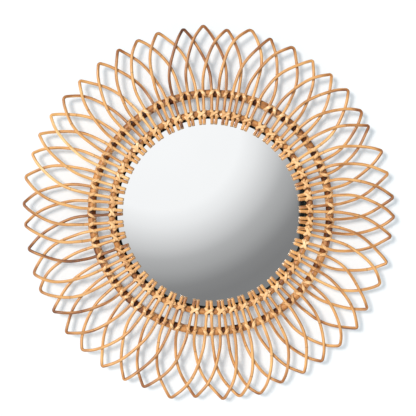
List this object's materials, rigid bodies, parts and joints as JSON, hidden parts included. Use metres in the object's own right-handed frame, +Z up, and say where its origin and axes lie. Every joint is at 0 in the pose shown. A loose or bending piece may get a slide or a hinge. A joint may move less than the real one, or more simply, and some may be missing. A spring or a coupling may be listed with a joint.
{
  "type": "wall mirror",
  "caption": "Round wall mirror in a sunflower frame of bent rattan canes tied to rattan hoops.",
  "frame": {"origin": "centre of the backing board's flat back, where it lies against the wall", "axes": "+Y into the wall, square to the glass; the front faces -Y; +Z up; +X to the right as seen from the front"},
  "size_m": [0.5978, 0.0236, 0.6028],
  "materials": {
    "rattan_cane": "peeled natural rattan, satin",
    "rattan_hoop": "darker rattan pole, satin",
    "mirror_glass": "silvered float glass, polished",
    "backing_board": "fibreboard painted matt black",
    "hanger": "zinc-plated strip"
  },
  "bodies": {
    "root": {"backing_board": "backing_board", "sawtooth_hanger": "hanger", "mirror_glass": "mirror_glass", "inner_hoop": "rattan_hoop", "outer_hoop_1": "rattan_hoop", "outer_hoop_2": "rattan_hoop", "outer_hoop_3": "rattan_hoop", "outer_hoop_4": "rattan_hoop", "petal_01": "rattan_cane", "petal_02": "rattan_cane", "petal_03": "rattan_cane", "petal_04": "rattan_cane", "petal_05": "rattan_cane", "petal_06": "rattan_cane", "petal_07": "rattan_cane", "petal_08": "rattan_cane", "petal_09": "rattan_cane", "petal_10": "rattan_cane", "petal_11": "rattan_cane", "petal_12": "rattan_cane", "petal_13": "rattan_cane", "petal_14": "rattan_cane", "petal_15": "rattan_cane", "petal_16": "rattan_cane", "petal_17": "rattan_cane", "petal_18": "rattan_cane", "petal_19": "rattan_cane", "petal_20": "rattan_cane", "petal_21": "rattan_cane", "petal_22": "rattan_cane", "petal_23": "rattan_cane", "petal_24": "rattan_cane", "petal_25": "rattan_cane", "petal_26": "rattan_cane", "petal_27": "rattan_cane", "petal_28": "rattan_cane", "petal_29": "rattan_cane", "petal_30": "rattan_cane", "petal_31": "rattan_cane", "petal_32": "rattan_cane", "petal_33": "rattan_cane", "petal_34": "rattan_cane", "petal_35": "rattan_cane", "petal_36": "rattan_cane", "petal_37": "rattan_cane", "petal_38": "rattan_cane", "petal_39": "rattan_cane", "petal_40": "rattan_cane", "petal_41": "rattan_cane", "petal_42": "rattan_cane", "petal_43": "rattan_cane", "petal_44": "rattan_cane", "petal_45": "rattan_cane", "petal_46": "rattan_cane", "petal_47": "rattan_cane", "petal_48": "rattan_cane", "petal_49": "rattan_cane", "petal_50": "rattan_cane"}
  },
  "joints": []
}
